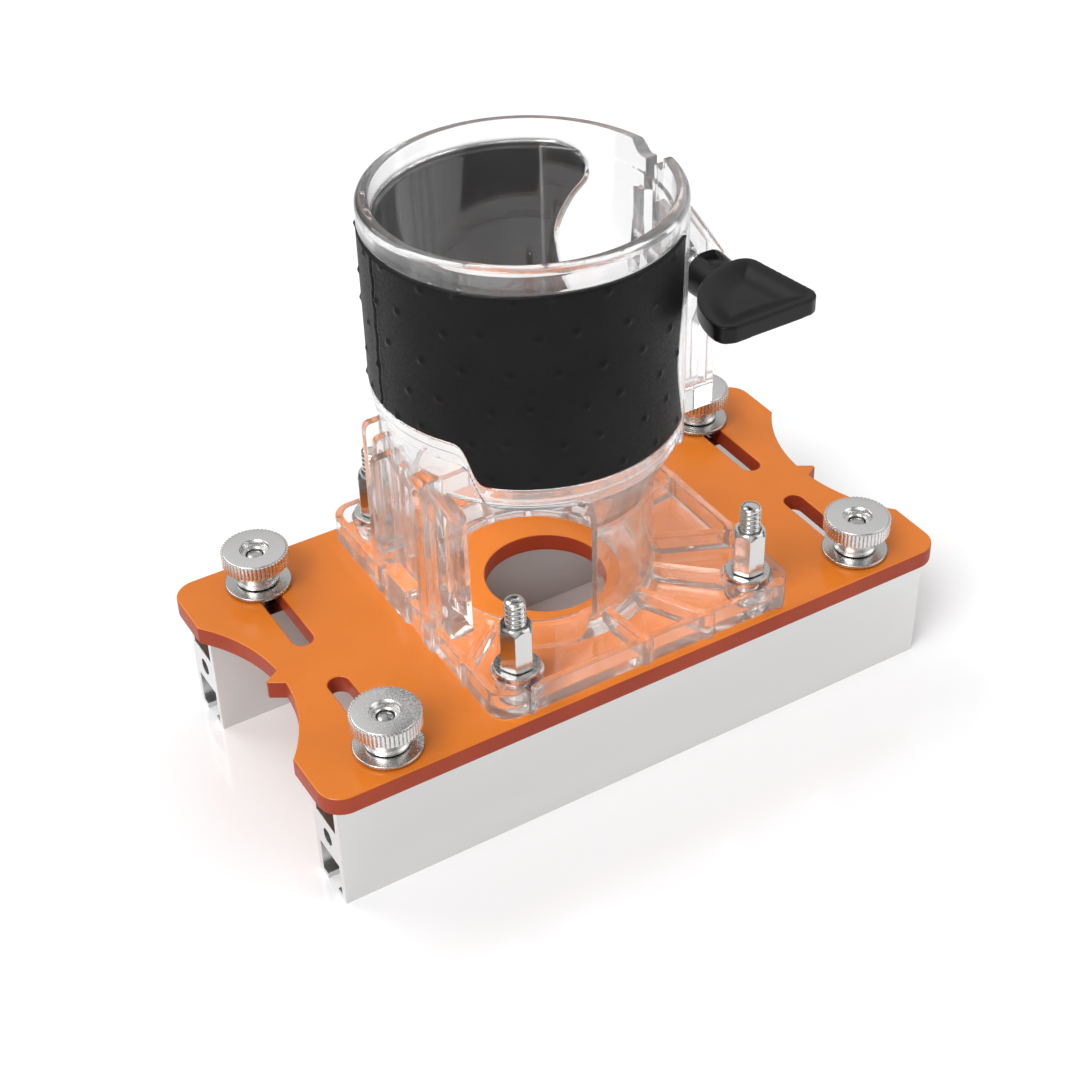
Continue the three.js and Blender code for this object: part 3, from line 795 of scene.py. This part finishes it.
def flange_solids():
    back = base_high.y
    bottom = base_low.z
    top = bottom + FLANGE_HEIGHT
    floor = bottom + FLANGE_FLOOR
    rim = FLANGE_RIM
    outer = rounded(FLANGE_LEFT, FLANGE_RIGHT, FLANGE_FRONT, back, FLANGE_CORNER)
    inner = rounded(
        FLANGE_LEFT + rim, FLANGE_RIGHT - rim, FLANGE_FRONT + rim, back - rim, FLANGE_CORNER - rim,
    )
    tray = prism("tray", outer, bottom, top)
    combine(tray, [prism("well", inner, floor, top + 1)], "DIFFERENCE")
    left_side, right_side, front_side, back_side = post_lines(back)
    posts = [
        (left_side, LEFT_RIBS[0]), (-32.8, front_side), (FRONT_RIBS[0], front_side),
        (FRONT_RIBS[1], front_side), (36.0, front_side), (right_side, RIGHT_RIBS[0]),
        (right_side, RIGHT_RIBS[1]), (FRONT_RIBS[0], back_side), (FRONT_RIBS[1], back_side),
        (right_side, RIGHT_RIBS[2]),
    ]
    for x, y in posts:
        post = turned("post", [(0, bottom), (POST_RADIUS, bottom), (POST_RADIUS, top), (0, top)], x, y, 24)
        combine(tray, [post], "UNION")
    return tray, bottom, floor, top, back


def bosses(floor, top):
    made = []
    for where, _, _ in CORNERS:
        x, y = middle_of("standoff_screw_" + where)
        profile = [(0, floor - 1), (BOSS_FOOT_RADIUS, floor - 1), (BOSS_FOOT_RADIUS + 0.4, floor + 1.2)]
        profile += [(BOSS_TOP_RADIUS - 0.3, top - 1.6), (BOSS_TOP_RADIUS, top - 0.6)]
        profile += [(BOSS_TOP_RADIUS, top), (0, top)]
        made.append(turned("boss", profile, x, y, 72))
    return made


def ribs(bottom, top, back):
    """Ribs on the flange from the foot of the nose to the rim and the bosses."""
    ends = [middle_of("standoff_screw_" + where) for where, _, _ in CORNERS]
    left_side, right_side, front_side, back_side = post_lines(back)
    ends += [(x, y) for y in (front_side, back_side) for x in FRONT_RIBS]
    ends += [(right_side, y) for y in RIGHT_RIBS]
    ends += [(left_side, y) for y in LEFT_RIBS]
    made = []
    for x, y in ends:
        away = Vector((x - collar_x, y - collar_y))
        side = Vector((-away.y, away.x)).normalized() * RIB_WIDTH / 2
        start = Vector((collar_x, collar_y)) + away.normalized() * (NOSE_RADIUS - 1)
        finish_at = Vector((x, y))
        outline = [tuple(start - side), tuple(finish_at - side), tuple(finish_at + side), tuple(start + side)]
        made.append(prism("rib", outline, bottom + 0.5, top - RIB_DROP))
    return made


def collar_wall(bottom, floor):
    """The nose, its flare and the clear skin under the grip, up to the ring at the top."""
    lip = collar_top - LIP_HEIGHT
    profile = [
        (NOSE_OPENING, bottom), (NOSE_RADIUS + 2.6, bottom), (NOSE_RADIUS + 2.2, floor + 0.4),
        (NOSE_RADIUS + 0.5, floor + 1.4), (NOSE_RADIUS, floor + 3), (NOSE_RADIUS, NOSE_TOP - 2),
        (NOSE_RADIUS + 0.3, NOSE_TOP), (SKIN - 0.6, EDGE_LOW - RING_HEIGHT - 2.2),
        (SKIN, EDGE_LOW - RING_HEIGHT - 0.4), (SKIN, lip - 0.5), (RING - 0.4, lip), (RING, lip + 0.6),
        (RING, collar_top - 1.4), (RING - 0.45, collar_top - 0.5), (RING - 1.3, collar_top),
        (BORE + 0.8, collar_top), (BORE, collar_top - 0.8), (BORE, EDGE_LOW - RING_HEIGHT - 1),
        (NOSE_RADIUS - NOSE_WALL + 0.2, NOSE_TOP), (NOSE_RADIUS - NOSE_WALL, NOSE_TOP - 2),
        (NOSE_RADIUS - NOSE_WALL, floor + 2.5), (NOSE_OPENING + 1, floor + 0.4), (NOSE_OPENING, floor),
    ]
    return turned("wall", profile, collar_x, collar_y, 288)


def ring_band():
    """The lip that carries the grip's lower edge: it rises in an S over the guide bracket."""
    def ring(name):
        return turned(
            name,
            [(SKIN - 0.8, 70), (RING - 0.5, 70), (RING - 0.5, 110), (SKIN - 0.8, 110)],
            collar_x, collar_y, 288,
        )

    def step_ring(name):
        return turned(
            name, [(SKIN - 0.8, 70), (RING, 70), (RING, 110), (SKIN - 0.8, 110)], collar_x, collar_y, 288,
        )

    bands = []
    for make, top_drop, bottom_drop in ((step_ring, 0, 2.6), (ring, 2.0, RING_HEIGHT)):
        curve = edge_curve(top_drop) + list(reversed(edge_curve(bottom_drop)))
        left = prism("left", curve, collar_x - 60, collar_x, along_x)
        level = [(collar_y - 60, EDGE_LOW - bottom_drop), (collar_y + 60, EDGE_LOW - bottom_drop),
                 (collar_y + 60, EDGE_LOW - top_drop), (collar_y - 60, EDGE_LOW - top_drop)]
        right = prism("right", level, collar_x - 0.01, collar_x + 60, along_x)
        for half in (left, right):
            bands.append(combine(make("band"), [half], "INTERSECT"))
    return bands


def guide_bracket(bottom):
    """Upright fins on a web, which carry the guide's screw on the real bracket."""
    # Each fin: its Y, how far it reaches in X, its thickness, its foot and its top.
    fins = [
        (-10.0, -42.5, 5.0, bottom, 84.3), (-1.8, -41.8, 2.0, 57.3, 83.3), (5.2, -45.4, 2.4, 55.3, 82.3),
        (9.5, -42.5, 2.0, 55.3, 84.3), (14.9, -42.3, 2.2, bottom, 85.3),
    ]
    made = []
    for y, reach, thickness, low, high in fins:
        outline = [(FIN_ROOT, low), (reach + 0.6, low), (reach, low + 0.8), (reach, high - 1.4)]
        outline += [(reach + 0.4, high - 0.4), (reach + 1.4, high), (FIN_ROOT, high)]
        made.append(prism("fin", outline, y - thickness / 2, y + thickness / 2, along_y))
    made.append(block("web", (-37.5, -10, bottom), (FIN_ROOT, 14.9, 79.3)))
    made.append(block("foot", (-42.2, 0.2, bottom), (FIN_ROOT, 11.3, 45.3)))
    return made


def ears():
    """The two clamp ears with their sloping top."""
    inner = collar_x + BORE - 2
    outline = [
        (inner, 72), (40.8, 72), (40.8, 90.3), (base_high.x, 99.3), (base_high.x, pivot_z + 1.2),
        (collar_x + RING + 3.4, 127.3), (inner, 127.3),
    ]
    reach = SLIT_HALF + EAR_THICKNESS
    return prism("ears", outline, collar_y - reach, collar_y + reach, along_y)


def clear_tools(bottom, top):
    """Everything that is cut from the clear base."""
    slit = block(
        "slit", (collar_x + BORE - 8, collar_y - SLIT_HALF, plate_top + 41),
        (base_high.x + 1, collar_y + SLIT_HALF, collar_top + 1),
    )
    notch_floor = collar_top - NOTCH_DEPTH
    step = prism(
        "step",
        [(NOTCH_FRONT, collar_top + 1), (NOTCH_FRONT, notch_floor + 0.8), (NOTCH_FRONT + 0.7, notch_floor),
         (NOTCH_BACK - 3, notch_floor), (NOTCH_BACK - 1.8, notch_floor + 0.6),
         (NOTCH_BACK - 0.4, collar_top - 0.8), (NOTCH_BACK, collar_top + 1)],
        collar_x + 10, base_high.x + 1, along_x,
    )
    hole = turned(
        "pivot_hole",
        [(0, collar_y - 9), (PIVOT_HOLE, collar_y - 9), (PIVOT_HOLE, collar_y + 9), (0, collar_y + 9)],
        pivot_x, pivot_z, 48, None, along_y,
    )
    bore = turned(
        "bore",
        [(0, bottom - 1), (NOSE_OPENING, bottom - 1), (NOSE_OPENING, bottom + FLANGE_FLOOR),
         (NOSE_RADIUS - NOSE_WALL, bottom + FLANGE_FLOOR + 2.5), (NOSE_RADIUS - NOSE_WALL, NOSE_TOP),
         (BORE, EDGE_LOW - RING_HEIGHT - 1), (BORE, collar_top - BORE_RECESS_HEIGHT - 0.4),
         (BORE + BORE_RECESS, collar_top - BORE_RECESS_HEIGHT), (BORE + BORE_RECESS, collar_top + 1),
         (0, collar_top + 1)],
        collar_x, collar_y, 288,
    )
    screws = []
    for where, _, _ in CORNERS:
        x, y = middle_of("standoff_screw_" + where)
        screws.append(turned(
            "screw_hole", [(0, bottom - 1), (STUD_HOLE, bottom - 1), (STUD_HOLE, top + 1), (0, top + 1)],
            x, y, 40,
        ))
    return [slit, step, hole, bore] + screws


def window_tool():
    """The opening in the nose, towards the front left."""
    outline = rounded(
        -WINDOW_HALF, WINDOW_HALF, plate_top + WINDOW_LOW, plate_top + WINDOW_HIGH, WINDOW_CORNER, 8,
    )
    tool = prism("window", outline, 10, RING + 5, along_x)
    turn = Matrix.Rotation(math.radians(WINDOW_TURN), 4, "Z")
    tool.data.transform(Matrix.Translation((collar_x * MM, collar_y * MM, 0)) @ turn)
    return tool


def make_clear_base():
    tray, bottom, floor, top, back = flange_solids()
    wall = combine(collar_wall(bottom, floor), [window_tool()], "DIFFERENCE")
    pad = turned(
        "pad", [(SKIN - 0.8, 70), (RING, 70), (RING, 136), (SKIN - 0.8, 136)], collar_x, collar_y, 288,
    )
    pad_zone = prism("pad_zone", clamp_edge(0), collar_x + 5, collar_x + 60, along_x)
    combine(pad, [pad_zone], "INTERSECT")
    solids = bosses(floor, top) + ribs(bottom, top, back) + [wall, pad] + ring_band()
    solids += guide_bracket(bottom) + [ears()]
    combine(tray, solids, "UNION")
    combine(tray, clear_tools(bottom, top), "DIFFERENCE")
    tray.name = "clear_base"
    mould = tray.modifiers.new("mould", "REMESH")
    mould.mode = "VOXEL"
    mould.voxel_size = VOXEL * MM
    relax = tray.modifiers.new("relax", "SMOOTH")
    relax.factor = 0.5
    relax.iterations = 3
    settle(tray)
    thin = tray.modifiers.new("thin", "DECIMATE")
    thin.ratio = min(1.0, FACE_LIMIT / (2 * len(tray.data.polygons)))
    settle(tray)
    smooth(tray, 180)
    return dress(tray, [clear], "bracket", ["router_base"])


# ---- Grip ----
def pimple(angle, height):
    """How far the grip's pimples lift a point of its outer face."""
    row = round(height / PIMPLE_SPACING * 1.15)
    lift = 0.0
    for near in (row - 1, row, row + 1):
        column = angle * grip_radius / PIMPLE_SPACING + (near % 2) / 2
        wobble = 0.12 * math.sin(7.3 * near + 3.1 * round(column))
        across = (column - round(column) + wobble) * PIMPLE_SPACING
        up = height - (near + 0.5 * wobble) * PIMPLE_SPACING / 1.15
        lift += PIMPLE_HEIGHT * math.exp(-(across ** 2 + up ** 2) / PIMPLE_RADIUS ** 2)
    return lift


def make_grip():
    """A rubber sleeve with scattered pimples, a lapped seam at the left and S-shaped ends."""
    inner = grip_radius - GRIP_WALL
    low = EDGE_LOW + 0.3
    high = sleeve_high.z
    rows = 150
    edge = 0.35
    profile = arc(inner + edge, high - edge, edge, 90, 180, 3)
    profile += arc(inner + edge, low + edge, edge, 180, 270, 3)
    profile += arc(grip_radius - edge, low + edge, edge, -90, 0, 3)[:-1]
    profile += [(grip_radius, low + edge + (high - low - 2 * edge) * i / rows) for i in range(rows + 1)]
    profile += arc(grip_radius - edge, high - edge, edge, 0, 90, 3)[1:]
    seam = math.radians(178)

    def lift(angle, radius, height):
        if radius != grip_radius:
            return 0
        wander = 0.006 * math.sin(height * 0.9) + 0.003 * math.sin(height * 2.3)
        near = (angle - seam - wander) * grip_radius
        groove = -0.7 * math.exp(-(near / 0.35) ** 2)
        swell = 0.18 * math.exp(-(near / 1.6) ** 2)
        return pimple(angle, height) + groove + swell

    grip = turned("rubber_grip", profile, collar_x, collar_y, 576, lift)
    below = edge_curve(-0.3) + [(collar_y + 40, 70), (collar_y - 40, 70)]
    rise = prism("rise", below, collar_x - 60, collar_x, along_x)
    zone = prism("zone", clamp_edge(0.5), collar_x + 5, collar_x + 60, along_x)
    combine(grip, [rise, zone], "DIFFERENCE")
    smooth(grip, 50)
    return dress(grip, [rubber], "bracket", ["grip_sleeve"])


# ---- Clamp lever, screw and nut ----
def paddle_outline():
    """Round towards the hub, with two straight edges, a soft corner at the tip and one over the hub."""
    outline = arc(8.0, -24.6, 21.2, 100, 180, 40)
    outline += spline([(-13.1, -25.0), (-12.2, -26.9), (-9.8, -27.9)], 6)
    outline += spline([(10.8, -27.5), (12.6, -26.5), (13.4, -24.6), (13.2, -22.4)], 6)
    outline += spline([(11.2, -9.0), (10.8, -6.4), (9.5, -4.6), (7.3, -3.8)], 6)
    ear_face = lever_high.y + PADDLE_SHIFT[1]
    return [(pivot_x + PADDLE_SHIFT[0] + x, ear_face + y) for x, y in outline]


def make_lever():
    """A dished paddle on a tapering hub."""
    outline = paddle_outline()
    face = lever_high.y
    paddle = prism("lever", outline, pivot_z + PADDLE_FLOOR, pivot_z + PADDLE_TOP)
    hub = turned(
        "hub", [(0, face - 15), (4.6, face - 15), (5.4, face - 9), (5.9, face - 0.5), (5.5, face), (0, face)],
        pivot_x, pivot_z, 96, None, along_y,
    )
    bore = turned(
        "bore", [(0, face - 10.3), (PIVOT_HOLE, face - 10.3), (PIVOT_HOLE, face + 1), (0, face + 1)],
        pivot_x, pivot_z, 48, None, along_y,
    )
    combine(paddle, [hub], "UNION")
    combine(paddle, [bore], "DIFFERENCE")
    paddle.name = "lever"
    mould = paddle.modifiers.new("mould", "REMESH")
    mould.mode = "VOXEL"
    mould.voxel_size = 0.28 * MM
    relax = paddle.modifiers.new("relax", "SMOOTH")
    relax.factor = 0.5
    relax.iterations = 8
    settle(paddle)
    dish(paddle, outline)
    paddle.data.shade_smooth()
    return dress(paddle, [lever_plastic], "lever", ["clamp_lever"])


def distance_to_outline(place, outline):
    """How far a plan position is from a closed outline."""
    nearest = math.inf
    for i, end in enumerate(outline):
        start = outline[i - 1]
        along = end - start
        share = max(0.0, min(1.0, (place - start).dot(along) / along.length_squared))
        nearest = min(nearest, (place - start - share * along).length)
    return nearest


def dish(paddle, outline):
    """Sinks the middle of the paddle's top face, from its rim inwards."""
    rim = 0.7
    slope = 7.0
    depth = 2.0
    edges = [Vector(point) for point in outline]
    for vertex in paddle.data.vertices:
        place = vertex.co / MM
        if place.z < pivot_z + PADDLE_TOP - 0.6:
            continue
        near = distance_to_outline(place.xy, edges)
        share = min(1.0, max(0.0, (near - rim) / slope))
        vertex.co.z -= depth * share * share * (3 - 2 * share) * MM


def make_clamp_screw():
    low, high = extent("clamp_screw")
    radius = (high.x - low.x) / 2
    thread_low = collar_y + SLIT_HALF + EAR_THICKNESS
    profile = [(0, low.y), (radius, low.y), (radius, thread_low)]
    profile += thread_profile(radius, thread_low + 0.1, high.y - 0.6, SPINDLE_PITCH)
    profile += [(radius - 0.5, high.y), (0, high.y)]
    cut = thread_cut(SPINDLE_PITCH, thread_low)
    screw = turned("clamp_spindle", profile, pivot_x, pivot_z, 64, cut, along_y)
    smooth(screw, 50)
    return dress(screw, [dark_steel], "lever", ["clamp_screw"])


def make_clamp_nut():
    low, high = extent("clamp_nut")
    flats = high.z - low.z
    corner = flats / math.sqrt(3)
    outline = arc(pivot_x, pivot_z, corner, 0, 300, 5)
    nut = prism("clamp_hexagon", outline, low.y, high.y, along_y)
    barrel = turned(
        "barrel",
        [(0, low.y - 1), (corner - 0.3, low.y - 0.1), (corner + 0.05, low.y + 0.4),
         (corner + 0.05, high.y - 0.6), (corner - 0.7, high.y), (0, high.y + 1)],
        pivot_x, pivot_z, 96, None, along_y,
    )
    combine(nut, [barrel], "INTERSECT")
    bore = turned(
        "bore", [(0, low.y - 1), (2.65, low.y - 1), (2.65, high.y + 1), (0, high.y + 1)],
        pivot_x, pivot_z, 64, None, along_y,
    )
    combine(nut, [bore], "DIFFERENCE")
    smooth(nut, 25)
    return dress(nut, [dark_steel], "bracket", ["clamp_nut"])


# ---- Stage, light and camera ----
def make_floor():
    half = FLOOR_SIZE / 2
    floor = piece_from(
        "floor", [(-half, -half, 0), (half, -half, 0), (half, half, 0), (-half, half, 0)], [(0, 1, 2, 3)],
    )
    if floor.data.polygons[0].normal.z < 0:
        floor.data.flip_normals()
    material, _, shader = shader_of("floor")
    shader.inputs["Base Color"].default_value = (0.93, 0.93, 0.935, 1)
    shader.inputs["Roughness"].default_value = 0.13
    floor.data.materials.append(material)


def add_sun(name, source, strength, spread):
    """A far soft lamp that shines from source towards the origin, spread degrees wide."""
    lamp = bpy.data.lights.new(name, "SUN")
    lamp.energy = strength
    lamp.angle = math.radians(spread)
    holder = bpy.data.objects.new(name, lamp)
    bpy.context.scene.collection.objects.link(holder)
    holder.location = Vector(source)
    holder.rotation_euler = (-Vector(source)).to_track_quat("-Z", "Y").to_euler()


def banded(tree, value, stops):
    """A grey ramp through stops of (position, brightness)."""
    ramp = node(tree, "ShaderNodeValToRGB")
    elements = ramp.color_ramp.elements
    for place, _ in stops[1:-1]:
        elements.new(place)
    elements[0].position = stops[0][0]
    elements[len(stops) - 1].position = stops[-1][0]
    for element, (_, grey) in zip(elements, stops):
        element.color = (grey, grey, grey, 1)
    tree.links.new(value, ramp.inputs["Fac"])
    return ramp.outputs["Color"]


def light_scene():
    """Three soft suns in a pale dome, with darker bands for edges and bright metal to pick up."""
    world = bpy.data.worlds.new("studio")
    world.use_nodes = True
    bpy.context.scene.world = world
    tree = world.node_tree
    backdrop = tree.nodes["Background"]
    place = node(tree, "ShaderNodeTexCoord")
    split = node(tree, "ShaderNodeSeparateXYZ")
    around = node(tree, "ShaderNodeTexGradient", gradient_type="RADIAL")
    tree.links.new(place.outputs["Generated"], split.inputs["Vector"])
    tree.links.new(place.outputs["Generated"], around.inputs["Vector"])
    rise = banded(tree, split.outputs["Z"], [
        (0, 0.8), (0.07, 0.2), (0.2, 0.16), (0.34, 0.95), (0.5, 1.25), (0.8, 1.25), (1, 0.8),
    ])
    turn = banded(tree, around.outputs["Fac"], [
        (0, 0.8), (0.08, 1), (0.2, 1), (0.27, 0.3), (0.34, 0.3), (0.41, 1), (0.74, 1), (0.82, 0.45),
        (0.9, 1), (1, 0.8),
    ])
    mix = node(tree, "ShaderNodeMixRGB", blend_type="MULTIPLY", Fac=1)
    tree.links.new(rise, mix.inputs["Color1"])
    tree.links.new(turn, mix.inputs["Color2"])
    tree.links.new(mix.outputs["Color"], backdrop.inputs["Color"])
    backdrop.inputs["Strength"].default_value = 0.62
    add_sun("key", (-0.62, -0.25, 0.75), 1.8, 32)
    add_sun("fill", (0.65, -0.6, 0.5), 0.6, 50)
    add_sun("back", (-0.4, 0.8, 0.9), 0.8, 35)


def place_camera():
    azimuth = math.radians(CAMERA_AZIMUTH)
    elevation = math.radians(CAMERA_ELEVATION)
    roll = math.radians(CAMERA_ROLL)
    back = Vector((
        math.sin(azimuth) * math.cos(elevation),
        -math.cos(azimuth) * math.cos(elevation),
        math.sin(elevation),
    ))
    right = Vector((math.cos(azimuth), math.sin(azimuth), 0))
    up = back.cross(right)
    turned_right = right * math.cos(roll) + up * math.sin(roll)
    turned_up = up * math.cos(roll) - right * math.sin(roll)
    lens = bpy.data.cameras.new("camera")
    lens.lens = CAMERA_LENS
    lens.sensor_width = 36
    lens.clip_end = 20
    camera = bpy.data.objects.new("camera", lens)
    bpy.context.scene.collection.objects.link(camera)
    turn = Matrix((turned_right, turned_up, back)).transposed().to_4x4()
    camera.matrix_world = Matrix.Translation(Vector(CAMERA_PLACE) * MM) @ turn
    bpy.context.scene.camera = camera


place_camera()
light_scene()
make_floor()
bpy.context.scene.view_settings.view_transform = "Standard"

make_plate()
for rail_side in ("front", "back"):
    make_rail(rail_side)
for corner_name, _, corner_side in CORNERS:
    bolts = "front_bolts" if corner_side < 0 else "back_bolts"
    make_t_bolt(corner_name, bolts)
    make_washer(
        "rail_washer_" + corner_name, "slot_washer_" + corner_name, BOLT_HOLE, "washer_" + corner_name,
    )
    make_thumb_nut(corner_name, "nut_" + corner_name)
    make_stud(corner_name)
    make_washer("stud_washer_" + corner_name, "standoff_washer_" + corner_name, STUD_HOLE, "bracket")
    make_hex_nut(corner_name)
make_clear_base()
make_grip()
make_lever()
make_clamp_screw()
make_clamp_nut()
